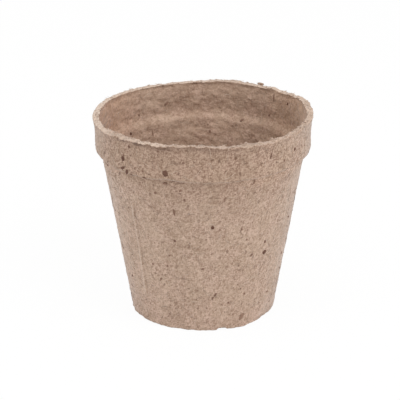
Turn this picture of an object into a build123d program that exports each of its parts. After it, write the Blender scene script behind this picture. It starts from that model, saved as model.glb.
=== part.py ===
from build123d import *
import os
from math import atan2, cos, degrees, radians, sin

# Peat pot: a round, tapered seedling pot felted from peat and wood fibre.
# The real pot is one felted moulding. Here it is cut along the level lines where a gardener tears it:
# the base that is torn out, the wall, and the collar that is torn off. Coarse bits of bark sit in the felt.
# Millimetres, +Z up, origin in the middle of the underside, -Y is the front.

# The moulding as a whole: outside widths at the rim and the foot, and the felt's level thickness
rim_diameter = 80.0
foot_diameter = 52.6
wall = 2.3

# Base: floor thickness, the rounded foot edge and the drain notches under it
base_thickness = 2.6
foot_rounding = 0.8
rounding_limit_share = 0.8
notch_count = 3
notch_width = 4.5
notch_height = 0.9
notch_depth = 5.0
notch_turn = 14.5

# Wall: its top under the shoulder, and the upright seam left by the mould
neck_height = 60.0
seam_length = 40.0
seam_width = 0.9
seam_height = 0.3
seam_turn = -46.5
seam_middle_share = 0.49

# Collar: the sloping shoulder, the same step inside, the nearly upright band and the lip that flares out of it
shoulder_step = 2.35
shoulder_rise = 2.4
inner_step_rise = 0.8
shoulder_rounding = 1.2
band_flare = 0.15
band_height = 8.1
lip_flare = 0.75
lip_height = 4.0
lip_rounding = 0.8
lip_limit_share = 0.45

# Bark crumbs: five-sided chips sunk in the outer face; each place is a turn from the front and a height share
crumb_radius = 0.9
crumb_sink = 0.7
crumb_proud = 0.35
crumb_sides = 5
wall_crumb_height_shares = {-17: 0.81, 5.5: 0.71, 44: 0.47, 33.5: 0.48, 6.5: 0.20, 18.5: 0.16}
band_crumb_height_shares = {-20: 0.32, -45: 0.60, -10: 0.82, 37: 0.80, 47: 0.50}

# Outer radii and heights that the pieces share
foot_radius = foot_diameter / 2
rim_radius = rim_diameter / 2
band_radius = rim_radius - lip_flare
shoulder_radius = band_radius - band_flare
neck_radius = shoulder_radius - shoulder_step
inner_neck_height = neck_height + inner_step_rise
shoulder_height = neck_height + shoulder_rise
band_top = shoulder_height + band_height
height = band_top + lip_height


def wall_radius(level):
    """Outer radius of the tapered wall at a height."""
    return foot_radius + (neck_radius - foot_radius) * level / neck_height


def face_plane(turn, level, radius, lean):
    """Plane on a leaning outer face: x level round the pot, y up the face, z straight out of it."""
    across, front = sin(radians(turn)), -cos(radians(turn))
    out, down = cos(radians(lean)), -sin(radians(lean))
    return Plane(
        origin=(radius * across, radius * front, level),
        x_dir=(-front, across, 0),
        z_dir=(out * across, out * front, down),
    )


def wall_plane(turn, share):
    """Plane on the wall's outer face, at a share of the way from the base to the neck."""
    level = base_thickness + share * (neck_height - base_thickness)
    return face_plane(turn, level, wall_radius(level), degrees(atan2(neck_radius - foot_radius, neck_height)))


def band_plane(turn, share):
    """Plane on the collar's band, at a share of the way from the shoulder to the lip."""
    level = shoulder_height + share * band_height
    return face_plane(turn, level, shoulder_radius + share * band_flare, degrees(atan2(band_flare, band_height)))


wall_crumb_planes = [wall_plane(turn, share) for turn, share in wall_crumb_height_shares.items()]
band_crumb_planes = [band_plane(turn, share) for turn, share in band_crumb_height_shares.items()]

# Base: a disc that follows the wall's taper, with a rounded foot edge and notches cut in from under that edge
with BuildPart() as base:
    with BuildSketch(Plane.XZ) as base_half:
        with BuildLine():
            Polyline(
                (0, 0),
                (foot_radius, 0),
                (wall_radius(base_thickness), base_thickness),
                (0, base_thickness),
                close=True,
            )
        make_face()
        foot_corner = base_half.vertices().sort_by_distance((foot_radius, 0))[0]
        fillet(foot_corner, min(foot_rounding, rounding_limit_share * base_thickness))
    revolve(axis=Axis.Z)
    with BuildSketch(Plane.XY):
        with PolarLocations(foot_radius, notch_count, start_angle=notch_turn - 90):
            Rectangle(2 * notch_depth, notch_width)
    extrude(amount=notch_height, mode=Mode.SUBTRACT)

# Wall: a tapered ring that stands on the base, with its mould seam and the pockets of its crumbs
with BuildPart() as pot_wall:
    with BuildSketch(Plane.XZ):
        with BuildLine():
            Polyline(
                (wall_radius(base_thickness) - wall, base_thickness),
                (wall_radius(base_thickness), base_thickness),
                (neck_radius, neck_height),
                (neck_radius - wall, neck_height),
                close=True,
            )
        make_face()
    revolve(axis=Axis.Z)
    with BuildSketch(wall_plane(seam_turn, seam_middle_share).offset(-wall / 2)):
        SlotOverall(seam_length, seam_width, rotation=90)
    extrude(amount=wall / 2 + seam_height)
    with BuildSketch(*wall_crumb_planes):
        RegularPolygon(crumb_radius, crumb_sides)
    extrude(amount=-crumb_sink, mode=Mode.SUBTRACT)

# Collar: the shoulder steps out from the neck, the band rises to the lip, and the inside follows the outside
with BuildPart() as collar:
    with BuildSketch(Plane.XZ) as collar_half:
        with BuildLine():
            Polyline(
                (neck_radius - wall, neck_height),
                (neck_radius, neck_height),
                (shoulder_radius, shoulder_height),
                (band_radius, band_top),
                (rim_radius, height),
                (rim_radius - wall, height),
                (band_radius - wall, band_top),
                (shoulder_radius - wall, shoulder_height + inner_step_rise),
                (wall_radius(inner_neck_height) - wall, inner_neck_height),
                close=True,
            )
        make_face()
        shoulder_corner = collar_half.vertices().sort_by_distance((shoulder_radius, shoulder_height))[0]
        fillet(shoulder_corner, shoulder_rounding)
        lip_corners = collar_half.vertices().group_by(Axis.Y)[-1]
        fillet(lip_corners, min(lip_rounding, lip_limit_share * wall))
    revolve(axis=Axis.Z)
    with BuildSketch(*band_crumb_planes):
        RegularPolygon(crumb_radius, crumb_sides)
    extrude(amount=-crumb_sink, mode=Mode.SUBTRACT)

# Bark crumbs: each chip fills its pocket and stands a little proud of the felt
with BuildPart() as bark_crumbs:
    with BuildSketch(*[plane.offset(-crumb_sink) for plane in wall_crumb_planes + band_crumb_planes]):
        RegularPolygon(crumb_radius, crumb_sides)
    extrude(amount=crumb_sink + crumb_proud)

os.makedirs("parts", exist_ok=True)
base.part.label = "base"
export_step(base.part, "parts/base.step")
pot_wall.part.label = "wall"
export_step(pot_wall.part, "parts/wall.step")
collar.part.label = "collar"
export_step(collar.part, "parts/collar.step")
bark_crumbs.part.label = "bark_crumbs"
export_step(bark_crumbs.part, "parts/bark_crumbs.step")
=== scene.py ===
import math
import random
from bisect import bisect

import bmesh
import bpy
from mathutils import Matrix, Vector, noise
from mathutils.bvhtree import BVHTree


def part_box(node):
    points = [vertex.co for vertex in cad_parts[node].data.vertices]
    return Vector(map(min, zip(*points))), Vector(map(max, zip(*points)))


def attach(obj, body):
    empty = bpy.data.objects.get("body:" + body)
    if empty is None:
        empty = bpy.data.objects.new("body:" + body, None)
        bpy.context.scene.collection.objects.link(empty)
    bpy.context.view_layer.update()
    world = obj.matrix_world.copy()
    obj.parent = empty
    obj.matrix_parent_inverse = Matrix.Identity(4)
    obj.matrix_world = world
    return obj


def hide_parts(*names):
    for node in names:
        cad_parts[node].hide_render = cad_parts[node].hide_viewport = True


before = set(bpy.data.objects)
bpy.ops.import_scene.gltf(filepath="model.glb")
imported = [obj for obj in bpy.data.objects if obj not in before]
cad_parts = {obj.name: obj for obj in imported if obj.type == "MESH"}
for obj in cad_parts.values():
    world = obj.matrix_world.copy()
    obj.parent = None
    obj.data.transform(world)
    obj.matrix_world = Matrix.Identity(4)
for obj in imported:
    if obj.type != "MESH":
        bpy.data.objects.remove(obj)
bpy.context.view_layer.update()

# Base: the floor of the pot with its rounded foot, pressed from the same pulp of peat and wood fibre
# as the rest. The pulp is drawn onto a mesh former, lifted off and dried. Shallow drain notches run in
# under the foot edge, which is worn uneven and has painted shade along its lowest part by the floor.
mm = 0.001
base_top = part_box("base")[1].z
base_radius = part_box("base")[1].x
neck_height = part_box("wall")[1].z
neck_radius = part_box("wall")[1].x
taper = (neck_radius - base_radius) / (neck_height - base_top)
felt = 2.3 * mm
foot_radius = base_radius - taper * base_top
foot_rounding = 0.6 * mm
foot_edge = 2.0 * mm
foot_wave = 2.6 * mm
foot_lift = 0.4 * mm
foot_ragged = 0.35 * mm
# Tables by turn give a strength, or millimetres, at degrees to the right of the front
foot_bulge_turns = {-95: 0.0, -68: 0.4, -48: 0.25, -30: 0.0, 18: 0.0, 33: 0.5, 45: 0.0, 60: -0.5, 85: 0.0}
foot_bulge_top = 9 * mm
foot_shade_height = 0.5 * mm
foot_shade_fade = 0.6 * mm
foot_shade_strength = 0.55
floor_rounding = 3.0 * mm
floor_edge = base_radius - felt - floor_rounding
notch_count = 3
first_notch_turn = 14.5
notch_turns = [first_notch_turn + 360 / notch_count * count for count in range(notch_count)]
notch_width = 4.6 * mm
notch_height = 0.9 * mm
notch_depth = 5.0 * mm
notch_slope = 1.1 * mm
base_cell = 1.0 * mm

sectors = 20
felt_steps = 24
rounding_segments = 5
weld = 0.001 * mm
felt_waves = ((24 * mm, 0.22 * mm), (7 * mm, 0.10 * mm), (2.6 * mm, 0.12 * mm), (1.2 * mm, 0.09 * mm))
inner_clumps = ((6.0 * mm, 3.2 * mm, 0.28 * mm), (2.8 * mm, 1.5 * mm, 0.22 * mm))


def is_joint(verts):
    """Whether points lie level within the felt's thickness, where base meets wall or wall meets collar."""
    return all(vert.co.xy.length > floor_edge - weld for vert in verts) and any(
        all(abs(vert.co.z - height) < weld for vert in verts) for height in (base_top, neck_height))


def spin_section(corners, cell, steps, closed=True):
    """A shell of even mesh, spun round the pot's axis from its section's (radius, height, rounding)."""
    shell = bmesh.new()
    line = [shell.verts.new((radius, 0, height)) for radius, height, rounding in corners]
    for pair in zip(line, line[1:] + line[:1] if closed else line[1:]):
        shell.edges.new(pair)
    for corner, (radius, height, rounding) in zip(line, corners):
        if rounding:
            bmesh.ops.bevel(shell, geom=[corner], offset=rounding, offset_type="OFFSET", affect="VERTICES",
                            segments=rounding_segments, profile=0.5, material=-1)
    for edge in shell.edges[:]:
        cuts = round(edge.calc_length() / cell) - 1
        if cuts > 0 and not is_joint(edge.verts):
            bmesh.ops.subdivide_edges(shell, edges=[edge], cuts=cuts)
    bmesh.ops.spin(shell, geom=shell.verts[:] + shell.edges[:], cent=(0, 0, 0), axis=(0, 0, 1),
                   angle=math.tau / sectors, steps=steps)
    bmesh.ops.spin(shell, geom=shell.verts[:] + shell.edges[:] + shell.faces[:], cent=(0, 0, 0),
                   axis=(0, 0, 1), angle=math.tau - math.tau / sectors, steps=sectors - 1, use_duplicate=True)
    bmesh.ops.remove_doubles(shell, verts=shell.verts, dist=weld)
    bmesh.ops.recalc_face_normals(shell, faces=shell.faces)
    return shell


def hidden_faces(shell):
    """The level faces where a piece meets the next one, with the edges round them kept sharp."""
    hidden = {face for face in shell.faces if is_joint(face.verts)}
    for edge in shell.edges:
        edge.smooth = len(hidden.intersection(edge.link_faces)) != 1
    return hidden


def turn_of(place):
    """Turn in degrees from the front of the pot, to the right."""
    return math.degrees(math.atan2(place.x, -place.y))


def off_turn(place, turn):
    """How far round the pot, in metres, a place lies to the right of a turn."""
    return math.radians((turn_of(place) - turn + 180) % 360 - 180) * place.xy.length


def ease(value):
    """0 below 0, 1 above 1, and a smooth step between."""
    value = min(max(value, 0.0), 1.0)
    return value * value * (3 - 2 * value)


def around_pot(turn, values):
    """A value that is given at some turns, eased from each to the next all round the pot."""
    turns = list(values)
    after = bisect(turns, turn) % len(turns)
    low, high = turns[after - 1], turns[after]
    share = ease(((turn - low) % 360) / ((high - low) % 360))
    return values[low] * (1 - share) + values[high] * share


def waves(place, rows):
    """Uneven relief at a place, summed from the (size, height) rows of its waves."""
    return sum(height * noise.noise(place / size) for size, height in rows)


def felt_lift(place, inward):
    """How far the felt stands off its section: warps of the dried wall, clumps of pulp and fine grain."""
    lift = waves(place, felt_waves)
    if inward:
        lift += inward * sum(height * noise.noise(Vector((place.x / wide, place.y / wide, place.z / high)))
                             for wide, high, height in inner_clumps)
    return lift


def foot_bulge(place):
    """How far the foot bulges out of round, fading upwards into the wall."""
    return mm * around_pot(turn_of(place), foot_bulge_turns) * ease(1 - place.z / foot_bulge_top)


def raise_felt(shell):
    """Moves every point of a closed shell along its visible faces' normal by the felt's own relief."""
    hidden = hidden_faces(shell)
    inner_layer = shell.verts.layers.float.new("inner")
    shell.normal_update()
    ways = {vert: vert.normal.copy() for vert in shell.verts}
    for vert in {vert for face in hidden for vert in face.verts}:
        open_normals = (face.normal for face in vert.link_faces if face not in hidden)
        ways[vert] = sum(open_normals, Vector()).normalized()
    for vert, way in ways.items():
        vert[inner_layer] = ease(-way.dot(Vector((vert.co.x, vert.co.y, 0)).normalized()))
        vert.co += way * felt_lift(vert.co, vert[inner_layer])


class Wire:
    """An output socket of a finish: arithmetic between wires and numbers adds Math nodes."""

    def __init__(self, finish, socket):
        self.finish = finish
        self.socket = socket

    def math(self, operation, first, second):
        return self.finish.node("Math", {"operation": operation}, {0: first, 1: second})

    def __add__(self, other):
        return self.math("ADD", self, other)

    def __sub__(self, other):
        return self.math("SUBTRACT", self, other)

    def __mul__(self, other):
        return self.math("MULTIPLY", self, other)

    def __rsub__(self, other):
        return self.math("SUBTRACT", other, self)

    __radd__ = __add__
    __rmul__ = __mul__

    def size(self):
        return self.math("ABSOLUTE", self, 0)

    def step(self, low, high):
        """0 where the wire is at low, 1 where it is at high, smooth between; low may be the larger."""
        return self.finish.node("MapRange", {"interpolation_type": "SMOOTHSTEP"},
                                {"Value": self, "From Min": low, "From Max": high})

    def beside(self, name):
        """Another output of the same node."""
        return Wire(self.finish, self.socket.node.outputs[name])


class Finish:
    """The nodes of a material or of the world, added one by one."""

    def __init__(self, owner):
        self.owner = owner
        owner.use_nodes = True
        self.tree = owner.node_tree
        self.tree.nodes.clear()

    def node(self, kind, settings=None, sockets=None, output=0):
        """Adds a node, sets its settings first, then fills or links its sockets, and returns one output."""
        node = self.tree.nodes.new("ShaderNode" + kind)
        for name, value in (settings or {}).items():
            setattr(node, name, value)
        for name, value in (sockets or {}).items():
            socket = node.inputs[name] if isinstance(name, int) else next(
                each for each in node.inputs if each.name == name and each.enabled)
            if isinstance(value, Wire):
                self.tree.links.new(value.socket, socket)
            else:
                socket.default_value = value
        if isinstance(output, str):
            return Wire(self, node.outputs[output])
        outputs = [each for each in node.outputs if each.enabled]
        return Wire(self, outputs[output]) if outputs else None

    def noise(self, place, size, detail=2.0, rough=0.5):
        """Noise between 0 and 1 with features of a size in metres."""
        return self.node("TexNoise", {}, {"Vector": place, "Scale": 1 / size, "Detail": detail,
                                          "Roughness": rough})

    def stretched_noise(self, place, size, turn=(0, 0, 0), detail=1.0):
        """Noise between 0 and 1 with features of a size along each axis, turned."""
        places = self.node("Mapping", {"vector_type": "TEXTURE"},
                           {"Vector": place, "Rotation": turn, "Scale": size})
        return self.noise(places, 1.0, detail)

    def specks(self, place, cell, turn, largest, edge):
        """Spots scattered one to a cell, most of them tiny and a few as large as a share of the cell."""
        places = self.node("Mapping", {"vector_type": "TEXTURE"},
                           {"Vector": place, "Rotation": turn, "Scale": cell})
        distance = self.node("TexVoronoi", {"feature": "F1"}, {"Vector": places, "Scale": 1.0},
                             output="Distance")
        chance = self.node("SeparateColor", {}, {"Color": distance.beside("Color")}, output="Red")
        return (chance * chance * chance * largest - distance).step(-edge, edge)

    def mix(self, factor, first, second, blend="MIX"):
        """A colour between two colours."""
        return self.node("Mix", {"data_type": "RGBA", "blend_type": blend},
                         {"Factor": factor, "A": first, "B": second})


def colour(red, green, blue):
    """A colour given as it looks on a screen, in 0 to 255, as the linear value that a shader takes."""
    shares = (channel / 255 for channel in (red, green, blue))
    return tuple(share / 12.92 if share <= 0.04045 else ((share + 0.055) / 1.055) ** 2.4
                 for share in shares) + (1.0,)


def pulp_felt():
    """Dry pulp: matt beige fibre with clouds, grain and dark specks, paler where torn; some light and shade
    is painted.
    """
    finish = Finish(bpy.data.materials.new("pulp_felt"))
    place = finish.node("TexCoord", output="Object")
    inner = finish.node("Attribute", {"attribute_name": "inner"}, output="Fac")
    pale = finish.node("Attribute", {"attribute_name": "pale"}, output="Fac")
    height = finish.node("SeparateXYZ", {}, {"Vector": place}, output="Z")
    right = height.beside("X")

    # Zones: painted warm bounce light on the inner left and right, painted light inside above the ledge, a
    # coarser and darker collar, darker across the middle front, and painted light on the neck under the
    # shoulder
    painted_bounce_left = right.step(-20 * mm, -36 * mm) * inner
    painted_bounce_right = right.step(20 * mm, 36 * mm) * inner
    painted_light_inside = (right.step(-36 * mm, -28 * mm) * right.step(14 * mm, 0) * height.step(50 * mm, 58 * mm)
                    * height.step(73 * mm, 70 * mm) * inner)
    coarse = height.step(50 * mm, 64 * mm) * (1 - inner)
    wear_and_painted_light = right.step(8 * mm, 38 * mm) * coarse
    sides = right.size().step(14 * mm, 36 * mm) * (1 - inner)
    darker_front = height.step(38 * mm, 54 * mm) * right.size().step(34 * mm, 8 * mm) * (1 - inner)
    painted_light_neck = ((right.step(2 * mm, 26 * mm) + right.step(-26 * mm, -34 * mm)) * height.step(57 * mm, 60 * mm)
              * height.step(62.4 * mm, 61.4 * mm) * (1 - inner))

    # Clouds, grain, fibres and specks, from the widest to the finest
    clouds = finish.noise(place, 15 * mm)
    patches = finish.noise(place, 6 * mm, detail=1)
    mottle = finish.noise(place, 3 * mm)
    grain = finish.noise(place, 1 * mm, detail=3, rough=0.7)
    fuzz = finish.noise(place, 0.42 * mm, detail=1)
    risers = finish.stretched_noise(place, (0.42 * mm, 0.42 * mm, 1.1 * mm), (0.25, 0.2, 0))
    levels = finish.stretched_noise(place, (1.1 * mm, 1.1 * mm, 0.42 * mm), (0.2, -0.25, 0))
    folds = finish.stretched_noise(place, (5 * mm, 5 * mm, 2.2 * mm), (0.3, 0.3, 0), detail=2)
    fold = (folds - 0.5).size().step(0.045, 0) * patches.step(0.42, 0.55) * inner
    flakes = finish.stretched_noise(place, (2.6 * mm, 2.6 * mm, 1.5 * mm), (0.3, 0.2, 0), detail=2)
    flake = (flakes.step(0.36, 0.64) - 0.5) * inner
    strands = finish.noise(place, 2.1 * mm, detail=1)
    strand = (strands - 0.5).size().step(0.02, 0.004) * finish.noise(place, 1.6 * mm).step(0.5, 0.6)
    upright = finish.specks(place, (1.7 * mm, 1.7 * mm, 3.2 * mm), (0.5, 0.3, 0), 0.30, 0.05)
    level = finish.specks(place, (2.4 * mm, 2.4 * mm, 1.2 * mm), (0.2, -0.4, 0.6), 0.28, 0.05)
    speck = upright + level - upright * level

    # Tone from dark to pale fibre, then the tints of the zones above
    rough = (0.48 + patches * 0.8) * (1 + coarse * 0.36 + sides * (0.25 + coarse * 0.15) - inner * 0.47)
    grit = ((grain - 0.5) * 1.0 + (fuzz - 0.5) * 0.8 + (risers - 0.5) * 0.9 + (levels - 0.5) * 0.9) * rough
    tone = 0.51 + (clouds - 0.5) * 0.28 + (mottle - 0.5) * (0.45 + inner * 0.12) + grit + strand * 0.2
    tone = tone + flake * 0.09 - fold * 0.2
    body = finish.mix(tone.step(0, 1), colour(146, 120, 101), colour(204, 179, 160))
    body = finish.mix(patches.step(0.4, 0.65), body, (1.0, 0.985, 1.0, 1), "MULTIPLY")
    body = finish.mix(speck * (0.45 + coarse * 0.2 + sides * 0.15 - inner * 0.2), body, colour(112, 84, 68))
    body = finish.mix(inner, body, (1.02, 1.0, 0.985, 1), "MULTIPLY")
    # painted warm bounce light on the inner left and right
    body = finish.mix(painted_bounce_left, body, (1.045, 0.96, 0.91, 1), "MULTIPLY")
    body = finish.mix(painted_bounce_right, body, (1.05, 1.01, 0.95, 1), "MULTIPLY")
    # painted light from the white floor: paler and a little cooler towards the bottom
    body = finish.mix(height.step(14 * mm, 4 * mm), body, (1.04, 1.04, 1.055, 1), "MULTIPLY")
    # painted light high on the inner face at the left and middle, above the ledge
    body = finish.mix(painted_light_inside, body, (1.04, 1.045, 1.05, 1), "MULTIPLY")
    # darker across the middle front
    body = finish.mix(darker_front, body, (0.945, 0.935, 0.93, 1), "MULTIPLY")
    # painted light on the neck under the shoulder, lifting the shade there
    body = finish.mix(painted_light_neck, body, (1.18, 1.18, 1.18, 1), "MULTIPLY")
    # the coarser collar's darker tone, halved towards the right as painted light
    body = finish.mix(coarse - wear_and_painted_light * 0.5, body, (0.88, 0.85, 0.825, 1), "MULTIPLY")
    # The pale attribute: the paler torn lip, plus painted light and shade at the seam, the neck, under the
    # lip, on the inner ledge and along the foot
    body = finish.mix(pale.step(0, 1) * (grain * 0.9 + mottle * 0.5), body, colour(224, 204, 187))
    body = finish.mix(pale.step(0, -1) * 0.8, body, colour(104, 80, 66))

    relief = grain * 0.7 + fuzz * 0.3 + (risers + levels) * 0.4 + mottle * 0.3 + strand * 0.4 - speck * 0.35
    bump = finish.node("Bump", {}, {"Height": relief + flake * 0.5, "Strength": 0.55, "Distance": 0.45 * mm})
    shader = finish.node("BsdfPrincipled", {}, {
        "Base Color": body, "Roughness": 0.9 + (mottle - 0.5) * 0.15, "Normal": bump,
        "Specular IOR Level": 0.2, "Sheen Weight": 0.4, "Sheen Roughness": 0.35})
    finish.node("OutputMaterial", {}, {"Surface": shader})
    return finish.owner


def add_piece(shell, name, finish):
    """Makes a finished bmesh an object of the pot that keeps its place in its mesh."""
    mesh = bpy.data.meshes.new(name)
    for face in shell.faces:
        face.smooth = True
    shell.to_mesh(mesh)
    piece = bpy.data.objects.new(name, mesh)
    bpy.context.scene.collection.objects.link(piece)
    mesh.materials.append(finish)
    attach(piece, "root")
    return piece


felt_finish = pulp_felt()
felt_trees = []
base_shell = spin_section([
    (0, 0, 0),
    (foot_radius, 0, foot_rounding),
    (base_radius, base_top, 0),
    (floor_edge, base_top, 0),
    (0, base_top, 0),
], base_cell, felt_steps, closed=False)
raise_felt(base_shell)
pale_layer = base_shell.verts.layers.float.new("pale")
for vert in base_shell.verts:
    rough = noise.noise(vert.co / foot_wave)
    edge = ease((vert.co.xy.length - foot_radius + foot_edge) / foot_edge)
    # painted shade along the lowest part of the foot edge, fading upwards from the floor
    vert[pale_layer] = -foot_shade_strength * edge * ease((foot_shade_height * (1 + rough) - vert.co.z) / foot_shade_fade)
    vert.co.z = max(vert.co.z, foot_lift * edge * rough, 0)
    for notch_turn in notch_turns:
        aside = ease((notch_width / 2 - abs(off_turn(vert.co, notch_turn))) / notch_slope)
        inwards = ease((vert.co.xy.length - foot_radius + notch_depth) / notch_slope)
        vert.co.z = max(vert.co.z, notch_height * aside * inwards)
    ragged = foot_ragged * noise.noise(vert.co.zxy / foot_wave) * ease(1 - vert.co.z / base_top)
    vert.co.xy *= 1 + edge * (foot_bulge(vert.co) + ragged) / foot_radius
base_felt = add_piece(base_shell, "base_felt", felt_finish)
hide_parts("base")
felt_trees.append(BVHTree.FromBMesh(base_shell))
base_shell.free()

# Wall: the tapered felt wall that stands on the base, drawn in the same pull of pulp and a little
# thicker than card. An upright seam is left on its outside where two halves of the drying mould met.
wall_cell = 0.58 * mm
hollow_rounding = 2.94 * mm
seam_turn = -46.5
seam_low = 10 * mm
seam_high = 52 * mm
seam_fade = 5 * mm
seam_height = 0.38 * mm
seam_left = 1.0 * mm
seam_right = 0.5 * mm
seam_painted_shading = 0.8
seam_groove = 0.24 * mm
seam_groove_width = 1.2 * mm
seam_sway = 0.25 * mm
seam_sway_wave = 9 * mm
seam_wear_wave = 6 * mm
seam_wear = 0.5
seam_strength = 0.75


def seam_lift(place):
    """Height of the mould seam: a slow rise from the left, a sharp fall and a shallow groove after it."""
    along = ease((place.z - seam_low) / seam_fade) * ease((seam_high - place.z) / seam_fade)
    across = off_turn(place, seam_turn) + seam_sway * noise.noise(Vector((0, 0, place.z / seam_sway_wave)))
    ridge = ease(1 + across / seam_left) if across < 0 else ease(1 - across / seam_right)
    groove = ease(across / seam_right) * ease(1 - (across - seam_right) / seam_groove_width)
    wear_and_painted_light = seam_strength + seam_wear * noise.noise(Vector((1, 0, place.z / seam_wear_wave)))
    return along * wear_and_painted_light * (seam_height * ridge - seam_groove * groove)


wall_shell = spin_section([
    (base_radius, base_top, 0),
    (neck_radius, neck_height, 0),
    (neck_radius - felt, neck_height, 0),
    (base_radius - felt, base_top, hollow_rounding),
    (floor_edge, base_top, 0),
], wall_cell, felt_steps)
raise_felt(wall_shell)
pale_layer = wall_shell.verts.layers.float.new("pale")
for vert in wall_shell.verts:
    around = vert.co.xy.length
    if around > base_radius + taper * (vert.co.z - base_top) - felt / 2:
        lift = seam_lift(vert.co)
        vert.co.xy *= 1 + (lift + foot_bulge(vert.co)) / around
        # painted light on the seam's ridge and painted shade in the groove beside it
        vert[pale_layer] = seam_painted_shading * lift / seam_height
wall_felt = add_piece(wall_shell, "wall_felt", felt_finish)
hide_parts("wall")
felt_trees.append(BVHTree.FromBMesh(wall_shell))
wall_shell.free()

# Collar: the stepped top of the same moulding: a short shoulder, with a soft ledge behind it inside, an
# upright band and a lip that flares a little. The lip is left as the pulp tore and dried, wavy, ragged
# and paler, and it stands highest at the back right.
rim_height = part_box("collar")[1].z
shoulder_foot = neck_height + 1.45 * mm
shoulder_foot_rounding = 0.5 * mm
shoulder_radius = neck_radius + 2.35 * mm
shoulder_height = neck_height + 2.1 * mm
shoulder_rounding = 0.7 * mm
band_radius = shoulder_radius + 0.1 * mm
band_top = shoulder_height + 8.4 * mm
band_rounding = 2.0 * mm
rim_radius = band_radius + 0.85 * mm
rim_outer_rounding = 0.5 * mm
rim_inner_rounding = 0.3 * mm
rim_burr = 0.25 * mm
burr_height = 0.9 * mm
inner_step = 0.9 * mm
inner_step_rounding = 1.2 * mm
inner_foot_rounding = 0.85 * mm
collar_cell = 0.38 * mm
collar_steps = 48
crease_height = neck_height + 0.9 * mm
crease_width = 0.7 * mm
crease_wave = 3 * mm
# Painted shade in the crease under the shoulder by turn; where a value is negative it paints light instead
neck_shading_turns = {-75: -0.35, -58: -0.35, -49: -0.15, -42: 0.1, -28: 0.2, -20: 0.1, -10: 0.4, -3: 0.0, 3: -0.2,
                12: -0.15, 20: 0.0, 34: 0.0, 42: -0.15, 50: 0.0, 180: 0.2}
shoulder_rise_turns = {-125: 0.0, -95: 0.45, -78: 0.45, -55: 0.0, -29: 0.0, -20: 0.8, -9: 0.3, 2: 0.0}
shoulder_reach = 2.1 * mm
torn_depth = 0.7 * mm
crest_slope = 0.5
crest_fade = 0.4
torn_waves = ((0.8 * mm, 0.30 * mm), (1.6 * mm, 0.40 * mm), (3.6 * mm, 0.30 * mm))
rim_rise_turns = {-165: -0.2, -110: 0.15, -72: -0.1, -62: 0.0, -48: 0.45, -34: 0.7, -22: 0.35, -11: 1.0,
                  -1: 1.05, 5: 0.65, 14: 0.3, 25: 0.0, 37: -0.25, 45: 0.05, 54: 0.1, 63: 0.65, 85: 0.6,
                  100: 0.9, 111: 1.25, 119: 0.5, 131: 0.0, 137: 0.4, 143: 0.1, 168: 0.5, 178: 0.0}
lip_droop_turns = {-150: 0.0, -95: 0.3, -66: 0.2, -55: 0.6, -48: 0.6, -38: 0.35, -22: 0.0, 0: -0.1,
                   12: 0.05, 70: 0.1, 95: 0.0, 120: -0.1}
lip_pale_turns = {-150: 0.8, -75: 1.0, -62: 0.75, -52: 0.45, -44: 0.55, -34: 0.75, -27: 0.8, -17: 0.5, 0: 0.4,
                  6: 0.5, 20: 0.42, 60: 0.4, 90: 0.52, 130: 0.7}
ragged_turns = {-150: 0.5, -75: 0.6, -55: 1.2, -35: 1.0, 60: 0.9, 95: 1.0, 130: 0.6}
under_lip_turns = {-90: 0.3, -55: 0.3, -45: 0.7, -33: 1.3, -18: 1.2, -11: 0.8, -5: 1.2, 3: 1.2, 12: 0.7,
                   25: 0.5, 50: 0.2, 90: 0.3}
under_lip = 0.55
under_lip_reach = 3.2 * mm
under_lip_line = 1.6
under_lip_width = 0.8 * mm
under_lip_wave = 3 * mm
tuft_heights = {23: 0.7 * mm, 38.5: 0.75 * mm, 11: 0.3 * mm, 69: 0.35 * mm}
tuft_width = 0.7 * mm
ledge_height = neck_height + 2.0 * mm
ledge_width = 1.6 * mm
ledge_painted_light = 0.16
ledge_waves = ((9 * mm, 0.9 * mm), (4 * mm, 0.5 * mm))
ledge_rise = 1.6 * mm
ledge_top = neck_height + 7 * mm
ledge_light_wave = 5 * mm
ledge_light_patchiness = 1.5

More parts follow.
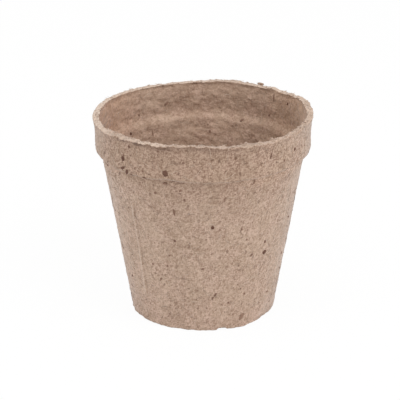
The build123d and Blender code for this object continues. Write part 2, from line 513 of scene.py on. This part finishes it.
collar_shell = spin_section([
    (neck_radius, neck_height, 0),
    (neck_radius + taper * (shoulder_foot - neck_height), shoulder_foot, shoulder_foot_rounding),
    (shoulder_radius, shoulder_height, shoulder_rounding),
    (band_radius, band_top, band_rounding),
    (rim_radius, rim_height, rim_outer_rounding),
    (rim_radius - felt - rim_burr, rim_height, rim_inner_rounding),
    (rim_radius - felt, rim_height - burr_height, rim_outer_rounding),
    (band_radius - felt, band_top, band_rounding),
    (shoulder_radius - felt, shoulder_height + inner_step, inner_step_rounding),
    (neck_radius - felt + taper * inner_step, neck_height + inner_step, inner_foot_rounding),
    (neck_radius - felt, neck_height, 0),
], collar_cell, collar_steps)
raise_felt(collar_shell)
pale_layer = collar_shell.verts.layers.float.new("pale")
inner_layer = collar_shell.verts.layers.float["inner"]
for vert in collar_shell.verts:
    turn = turn_of(vert.co)
    if vert.co.z > shoulder_height:
        below = rim_height - vert.co.z
        torn = ease(1 - below / torn_depth)
        outwards = ease((vert.co.xy.length - rim_radius) / felt + 1)
        crest = ease((vert.normal.z - crest_slope) / crest_fade)
        # Below the lip the felt is darker: partly its own tone, partly painted shade under the lip's edge,
        # with a thin patchy line of painted shade on both faces
        line = ease(1 - abs(below / under_lip_width - 1)) * max(0, noise.noise(vert.co / under_lip_wave))
        shaded = under_lip * outwards * ease(1 - below / under_lip_reach) + under_lip_line * line
        vert[pale_layer] = (torn * crest * around_pot(turn, lip_pale_turns)
                            - (1 - crest) * shaded * around_pot(turn, under_lip_turns))
        lifted = ease((vert.co.z - shoulder_height) / (rim_height - shoulder_height))
        tuft = sum(height * ease(1 - abs(off_turn(vert.co, place)) / tuft_width)
                   for place, height in tuft_heights.items())
        droop = mm * around_pot(turn, lip_droop_turns)
        ragged = torn * around_pot(turn, ragged_turns)
        torn_out = ragged * waves(vert.co.zxy, torn_waves)
        vert.co.z += ragged * waves(vert.co, torn_waves) + torn * (tuft * (1 - outwards) - droop * outwards)
        vert.co.z += lifted * mm * around_pot(turn, rim_rise_turns)
        vert.co.xy *= 1 + torn_out / rim_radius
    elif vert.co.xy.length > neck_radius - felt / 2:
        # painted shade along the neck under the shoulder, turned to painted light where the table is negative
        crease = ease(1 - abs(vert.co.z - crease_height) / crease_width)
        broken = 1 + noise.noise(vert.co / crease_wave)
        vert[pale_layer] = -around_pot(turn, neck_shading_turns) * crease * broken
    # painted light along the inner ledge, in patches
    wear_and_painted_light = 1 + ledge_light_patchiness * noise.noise(vert.co / ledge_light_wave)
    bright = ledge_painted_light * wear_and_painted_light * ease(1 - abs(vert.co.z - ledge_height) / ledge_width)
    vert[pale_layer] += vert[inner_layer] * bright
    ledge = ease((vert.co.z - neck_height) / ledge_rise) * ease((ledge_top - vert.co.z) / ledge_rise)
    vert.co.z += vert[inner_layer] * ledge * waves(vert.co, ledge_waves)
    shoulder = (1 - vert[inner_layer]) * ease(1 - abs(vert.co.z - shoulder_height) / shoulder_reach)
    vert.co.z += shoulder * mm * around_pot(turn, shoulder_rise_turns)
collar_felt = add_piece(collar_shell, "collar_felt", felt_finish)
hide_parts("collar")
felt_trees.append(BVHTree.FromBMesh(collar_shell))
collar_shell.free()

# Bark flecks: coarse bits of bark and peat that were stirred into the pulp and dried into both faces of
# the felt. The larger ones lie where they show from the front, as rows of turn in degrees, height, length
# and width in millimetres, tilt in degrees and shade, and more are strewn over the rest of the pot.
outer_flecks = (
    (-19.5, 65, 1.9, 1.75, 0, 0.15), (-21, 60.5, 1.4, 0.8, 80, 0.45), (-45, 68.5, 0.8, 0.6, 0, 0.4),
    (-45.5, 67.2, 1.7, 1.1, 10, 0.05), (-40.5, 72.5, 1.0, 0.8, 0, 0.3), (-46, 63.6, 1.9, 0.8, 65, 0.15),
    (-43, 62.6, 1.5, 1.0, 20, 0.15), (-40.5, 62, 1.6, 0.7, 70, 0.4), (-32.5, 64.5, 0.7, 0.5, 0, 0.5),
    (-32, 62, 1.5, 0.8, 70, 0.3), (-10, 69.5, 0.7, 0.6, 0, 0.5), (-23, 73, 0.9, 0.6, 90, 0.4),
    (37, 69.5, 2.1, 0.6, 15, 0.25), (56, 68.5, 1.0, 0.9, 0, 0.2), (46.5, 66, 0.8, 0.6, 0, 0.4),
    (29, 60, 1.4, 0.5, 10, 0.6), (-17, 49, 2.1, 0.65, -5, 0.4), (5.5, 43.5, 1.1, 1.0, 0, 0.0),
    (-27.5, 56, 1.0, 0.7, 60, 0.5), (-12.5, 58, 1.2, 0.5, 50, 0.6), (-10.5, 54.5, 0.8, 0.6, 20, 0.4),
    (12, 54.5, 1.6, 0.5, 5, 0.6), (24, 41.5, 0.7, 0.6, 0, 0.4), (-18, 37.5, 0.8, 0.7, 0, 0.3),
    (-22.5, 31, 0.8, 0.5, 60, 0.5), (-24.5, 26.5, 0.7, 0.6, 0, 0.5), (-36, 26, 0.8, 0.6, 0, 0.5),
    (-0.5, 26.5, 0.9, 0.5, 75, 0.4), (33, 30, 1.4, 0.6, 60, 0.35), (28, 37, 0.8, 0.5, 45, 0.5),
    (-30.5, 20.5, 0.8, 0.6, 40, 0.5), (8.5, 15.5, 1.4, 0.6, 25, 0.35), (6.5, 14, 1.2, 0.6, 20, 0.4),
    (44, 29.5, 1.5, 1.4, 20, 0.1), (43, 34, 1.0, 0.8, 0, 0.25), (18.5, 11.5, 0.7, 0.6, 0, 0.4),
    (31, 14, 0.8, 0.6, 0, 0.5), (56, 11, 1.0, 0.5, 80, 0.5), (30, 4.5, 2.4, 1.4, 25, 0.7),
)
inner_flecks = (
    (-128, 59.5, 1.0, 0.9, 0, 0.05), (122, 71.5, 0.9, 0.6, 20, 0.1), (137.5, 64.5, 0.9, 0.5, 30, 0.35),
    (155, 61, 1.3, 0.9, 50, 0.55), (175.5, 56, 0.9, 0.8, 0, 0.5), (134, 72, 2.4, 0.45, -10, 0.5),
    (-158, 67, 1.6, 0.7, 45, 0.6), (-139, 64.5, 0.7, 0.6, 0, 0.4), (-146, 57, 4.2, 0.5, 0, 0.65),
)
fleck_spread = 1.3
fleck_thickness = 0.4 * mm
fleck_low = 4 * mm
fleck_high = 73 * mm
inner_fleck_every = 3
chip_unevenness = (0.8, 1.15)
coarse_flecks = 150
coarse_inner_turns = (-100, 100)
coarse_outer_turns = (62, 298)
coarse_lengths = (0.6, 1.6)
coarse_width_shares = (0.35, 0.9)
coarse_shades = (0, 0.6)
fine_flecks = 240
fine_lengths = (0.3, 0.7)
fine_width_shares = (0.4, 0.9)
fine_shades = (0.2, 1)
rim_crumb_turn = 146.5
rim_crumb_inset = 0.2 * felt
rim_crumb_long = 3.4 * mm
rim_crumb_wide = 1.3 * mm
rim_crumb_thickness = 0.7 * mm
seat_reach = 60 * mm


def seat(turn, height, inside=False):
    """The place on the felt at a turn and a height, and the direction out of the felt there."""
    outward = Vector((math.sin(math.radians(turn)), -math.cos(math.radians(turn)), 0))
    start = Vector((0, 0, height)) if inside else outward * seat_reach + Vector((0, 0, height))
    way = outward if inside else -outward
    hits = [tree.ray_cast(start, way, seat_reach) for tree in felt_trees]
    place, normal = min((hit for hit in hits if hit[0] is not None), key=lambda hit: hit[3])[:2]
    return place, normal if normal.dot(way) < 0 else -normal


def nearest_felt(place, trees):
    """The place on the felt nearest to another, and the mean direction out of the faces that meet there."""
    tree, found = min(((tree, tree.find_nearest(place)) for tree in trees), key=lambda pair: pair[1][3])
    meeting = tree.find_nearest_range(found[0], weld)
    return found[0], sum((normal for spot, normal, face, distance in meeting), Vector()).normalized()


def rim_seat(turn, inset):
    """The place on top of the rim at a turn, a way in from its edge, and the direction out of the felt."""
    reach = rim_radius - inset
    above = Vector((reach * math.sin(math.radians(turn)), -reach * math.cos(math.radians(turn)),
                    rim_height + felt))
    return nearest_felt(above, felt_trees[-1:])


def grain_way(place, normal, tilt):
    """A direction along the felt, tilted to the right in degrees from upright."""
    around = Vector((-place.y, place.x, 0)).normalized()
    return normal.cross(around) * math.cos(math.radians(tilt)) + around * math.sin(math.radians(tilt))


def add_chip(shell, place, normal, size, tilt, shade, rounds=1):
    """Sets one uneven chip of a length, width and thickness half into the felt."""
    long, wide, thick = size
    along = grain_way(place, normal, tilt)
    across = normal.cross(along)
    for vert in bmesh.ops.create_icosphere(shell, subdivisions=rounds, radius=0.5)["verts"]:
        vert.co *= draw.uniform(*chip_unevenness)
        vert.co = place + along * vert.co.x * long + across * vert.co.y * wide + normal * vert.co.z * thick
        vert[shell.verts.layers.float["shade"]] = shade


def bark():
    """Raw bark: dark brown to tan chips, each its own shade, with a fine rough grain."""
    finish = Finish(bpy.data.materials.new("bark"))
    place = finish.node("TexCoord", output="Object")
    grain = finish.noise(place, 0.4 * mm, detail=3)
    shade = finish.node("Attribute", {"attribute_name": "shade"}, output="Fac")
    body = finish.mix(shade + (grain - 0.5) * 0.5, colour(92, 62, 50), colour(160, 131, 112))
    bump = finish.node("Bump", {}, {"Height": grain, "Strength": 0.5, "Distance": 0.2 * mm})
    shader = finish.node("BsdfPrincipled", {}, {"Base Color": body, "Roughness": 0.85, "Normal": bump,
                                                "Specular IOR Level": 0.25})
    finish.node("OutputMaterial", {}, {"Surface": shader})
    return finish.owner


draw = random.Random(7)
flecks = bmesh.new()
flecks.verts.layers.float.new("shade")
for inside, rows in ((False, outer_flecks), (True, inner_flecks)):
    for turn, height, long, wide, tilt, shade in rows:
        size = (fleck_spread * long * mm, fleck_spread * wide * mm, fleck_thickness)
        add_chip(flecks, *seat(turn, height * mm, inside), size, tilt, shade, 2)
place, normal = rim_seat(rim_crumb_turn, rim_crumb_inset)
size = (rim_crumb_long, rim_crumb_wide, rim_crumb_thickness)
add_chip(flecks, place + normal * fleck_thickness, normal, size, 90, 1.0, 2)
for count in range(coarse_flecks):
    inside = count % inner_fleck_every == 0
    turn = draw.uniform(*(coarse_inner_turns if inside else coarse_outer_turns))
    long = draw.uniform(*coarse_lengths) * mm
    size = (long, long * draw.uniform(*coarse_width_shares), fleck_thickness)
    add_chip(flecks, *seat(turn, draw.uniform(fleck_low, fleck_high), inside), size, draw.uniform(0, 180),
             draw.uniform(*coarse_shades))
for count in range(fine_flecks):
    inside = count % inner_fleck_every == 0
    long = draw.uniform(*fine_lengths) * mm
    size = (long, long * draw.uniform(*fine_width_shares), fleck_thickness)
    add_chip(flecks, *seat(draw.uniform(-180, 180), draw.uniform(fleck_low, fleck_high), inside), size,
             draw.uniform(0, 180), draw.uniform(*fine_shades))
bark_flecks = add_piece(flecks, "bark_flecks", bark())
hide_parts("bark_crumbs")
flecks.free()

# Loose fibres: bent hairs of wood pulp, thinner than a thread, that dried onto both faces of the felt, and
# the fluff of torn pulp along the lip. The crumbs on the lip are rows of turn in degrees, share of the felt
# in from the edge, length, width and thickness in millimetres, tilt in degrees and shade.
hair_radius = 0.07 * mm
hair_sides = 3
hair_steps = 4
hair_bends = (0.4, -0.7, 1.2, -1.8)
face_hair_lengths = (1.5 * mm, 2.4 * mm, 3.6 * mm, 5.5 * mm)
rim_hair_lengths = (0.5 * mm, 0.8 * mm, 1.2 * mm)
face_hairs = 1300
inner_hair_every = 4
face_hair_shades = (0.0, 0.1, 0.2, 0.9)
rim_hairs = 420
rim_hair_insets = (0.1, 0.95)
rim_hair_shades = (0, 0.3)
rim_hair_rises = (0.1, 0.5)
rim_tufts = 200
tuft_insets = (0.05, 0.98)
tuft_sizes = ((0.4, 1.1), (0.3, 0.6), (0.15, 0.4))
tuft_shades = (0.15, 0.7)
lip_crumbs = ((38.5, 0.5, 1.3, 0.8, 1.1, 80, 0.45), (41, 0.4, 1.0, 0.7, 0.8, 60, 0.3),
              (61, 0.4, 1.0, 0.8, 1.0, 60, 0.7), (70, 0.5, 1.0, 0.8, 0.7, 20, 1.0))


def bent_hair(length, bend):
    """A hair that starts along X and bends towards Y, drawn to a point at both ends."""
    hair = bmesh.new()
    foot = bmesh.ops.create_circle(hair, segments=hair_sides, radius=hair_radius,
                                   matrix=Matrix.Rotation(math.pi / 2, 4, "Y"))["verts"]
    last = bmesh.ops.spin(hair, geom=hair.verts[:] + hair.edges[:], cent=(0, length / bend, 0),
                          axis=(0, 0, 1), angle=bend, steps=hair_steps)["geom_last"]
    tip = [each for each in last if isinstance(each, bmesh.types.BMVert)]
    for end in (foot, tip):
        bmesh.ops.pointmerge(hair, verts=end, merge_co=sum((vert.co for vert in end), Vector()) / hair_sides)
    bmesh.ops.recalc_face_normals(hair, faces=hair.faces)
    mesh = bpy.data.meshes.new("hair")
    hair.to_mesh(mesh)
    hair.free()
    return mesh


def add_hair(place, normal, tilt, mesh, shade, rise=0.0):
    """Lays one hair on the felt, tilted from upright, or plants it there rising off the felt by an angle."""
    along = grain_way(place, normal, tilt)
    across = normal.cross(along)
    lean = Matrix.Rotation(-rise, 3, across)
    turned = Matrix((lean @ along, across, lean @ normal)).transposed()
    first = len(hairs.verts)
    hairs.from_mesh(mesh)
    hairs.verts.ensure_lookup_table()
    for vert in hairs.verts[first:]:
        off_felt = vert.co.z
        vert.co = place + turned @ vert.co
        vert[hairs.verts.layers.float["shade"]] = shade
        if not rise:
            nearest, outward = nearest_felt(vert.co, felt_trees)
            vert.co = nearest + outward * (hair_radius / 2 + off_felt)


def pulp_hair():
    """Wood fibre: straw-pale hairs with a soft sheen, and a few that are browned."""
    finish = Finish(bpy.data.materials.new("pulp_hair"))
    place = finish.node("TexCoord", output="Object")
    streak = finish.noise(place, 0.6 * mm)
    shade = finish.node("Attribute", {"attribute_name": "shade"}, output="Fac")
    body = finish.mix(shade + (streak - 0.5) * 0.4, colour(216, 194, 175), colour(132, 104, 87))
    shader = finish.node("BsdfPrincipled", {}, {"Base Color": body, "Roughness": 0.8,
                                                "Specular IOR Level": 0.25, "Sheen Weight": 0.2})
    finish.node("OutputMaterial", {}, {"Surface": shader})
    return finish.owner


face_hair_shapes = [bent_hair(length, bend) for length in face_hair_lengths for bend in hair_bends]
rim_hair_shapes = [bent_hair(length, bend) for length in rim_hair_lengths for bend in hair_bends]
hairs = bmesh.new()
hairs.verts.layers.float.new("shade")
for count in range(face_hairs):
    inside = count % inner_hair_every == 0
    place, normal = seat(draw.uniform(-180, 180), draw.uniform(fleck_low, fleck_high), inside)
    add_hair(place, normal, draw.uniform(0, 360), draw.choice(face_hair_shapes),
             draw.choice(face_hair_shades))
for count in range(rim_hairs):
    place, normal = rim_seat(draw.uniform(-180, 180), draw.uniform(*rim_hair_insets) * felt)
    add_hair(place, normal, draw.uniform(0, 360), draw.choice(rim_hair_shapes),
             draw.uniform(*rim_hair_shades), draw.uniform(*rim_hair_rises))
for count in range(rim_tufts):
    place, normal = rim_seat(draw.uniform(-180, 180), draw.uniform(*tuft_insets) * felt)
    size = [draw.uniform(low, high) * mm for low, high in tuft_sizes]
    add_chip(hairs, place, normal, size, draw.uniform(0, 180), draw.uniform(*tuft_shades))
for turn, inset, long, wide, thick, tilt, shade in lip_crumbs:
    add_chip(hairs, *rim_seat(turn, inset * felt), (long * mm, wide * mm, thick * mm), tilt, shade)
add_piece(hairs, "loose_fibres", pulp_hair())
hairs.free()

# Studio: a white floor that keeps the pot's shadow, a white surround and soft square lamps. The camera
# stands where the photograph was taken from.
floor_size = 3.0
floor_gap = 0.05 * mm
floor_mesh = bmesh.new()
bmesh.ops.create_grid(floor_mesh, x_segments=1, y_segments=1, size=floor_size,
                      matrix=Matrix.Translation((0, 0, -floor_gap)))
floor_data = bpy.data.meshes.new("floor")
floor_mesh.to_mesh(floor_data)
floor_mesh.free()
floor = bpy.data.objects.new("floor", floor_data)
bpy.context.scene.collection.objects.link(floor)


def seen_directly(finish):
    """1 for a ray from the camera, from gloss or from glass, and 0 for one that only carries light."""
    path = finish.node("LightPath", output="Is Camera Ray")
    return path + path.beside("Is Glossy Ray") + path.beside("Is Transmission Ray")


floor_whiteness = 0.95
floor_finish = Finish(bpy.data.materials.new("white_floor"))
matt = floor_finish.node("BsdfDiffuse", {}, {"Color": (0.96, 0.96, 0.96, 1)})
glow = floor_finish.node("Emission", {}, {"Color": (1, 1, 1, 1), "Strength": 1.0})
shown = seen_directly(floor_finish) * floor_whiteness
cover = floor_finish.node("MixShader", {}, {0: shown, 1: matt, 2: glow})
floor_finish.node("OutputMaterial", {}, {"Surface": cover})
floor_data.materials.append(floor_finish.owner)

studio = Finish(bpy.data.worlds.new("studio"))
ambient = studio.node("Background", {}, {"Color": (1, 1, 1, 1), "Strength": 0.55})
white = studio.node("Background", {}, {"Color": (1, 1, 1, 1), "Strength": 1.0})
surround = studio.node("MixShader", {}, {0: seen_directly(studio), 1: ambient, 2: white})
studio.node("OutputWorld", {}, {"Surface": surround})
bpy.context.scene.world = studio.owner

middle = Vector((0, 0, rim_height / 2))
softbox_size = 0.6


def add_softbox(name, turn, height_angle, power):
    """A square lamp, one metre from the pot's middle and facing it."""
    lamp = bpy.data.lights.new(name, "AREA")
    lamp.energy = power
    lamp.size = softbox_size
    way = Matrix.Rotation(math.radians(turn), 3, "Z") @ Matrix.Rotation(math.radians(-height_angle), 3, "X")
    away = way @ Vector((0, -1, 0))
    softbox = bpy.data.objects.new(name, lamp)
    softbox.location = middle + away
    softbox.rotation_euler = away.to_track_quat("Z", "Y").to_euler()
    bpy.context.scene.collection.objects.link(softbox)


add_softbox("key", 45, 44, 4.2)
add_softbox("top", 0, 85, 1.1)
add_softbox("left_fill", -45, 50, 1.7)
add_softbox("left_side", -95, 12, 1.35)
add_softbox("left_back", -135, 18, 1.2)
add_softbox("right_side", 90, 5, 0.55)
add_softbox("right_back", 135, 25, 0.6)

camera_distance = 0.7
camera_height_angle = math.radians(21.4)
camera_roll = math.radians(-0.26)
lens = 170.7
near_clip = 0.01
sensor_width = 36
photo_width = 400
pot_right = 3.19
pot_down = 9.15
pixel = sensor_width / lens / photo_width * camera_distance
up = Vector((0, math.sin(camera_height_angle), math.cos(camera_height_angle)))
away = Vector((0, -math.cos(camera_height_angle), math.sin(camera_height_angle)))
aim = middle - Vector((1, 0, 0)) * pot_right * pixel + up * pot_down * pixel
camera_data = bpy.data.cameras.new("camera")
camera_data.lens = lens
camera_data.sensor_width = sensor_width
camera_data.clip_start = near_clip
camera = bpy.data.objects.new("camera", camera_data)
camera.location = middle + away * camera_distance
facing = (camera.location - aim).to_track_quat("Z", "Y").to_matrix() @ Matrix.Rotation(camera_roll, 3, "Z")
camera.rotation_euler = facing.to_euler()
bpy.context.scene.collection.objects.link(camera)
bpy.context.scene.camera = camera
bpy.context.scene.view_settings.view_transform = "Standard"
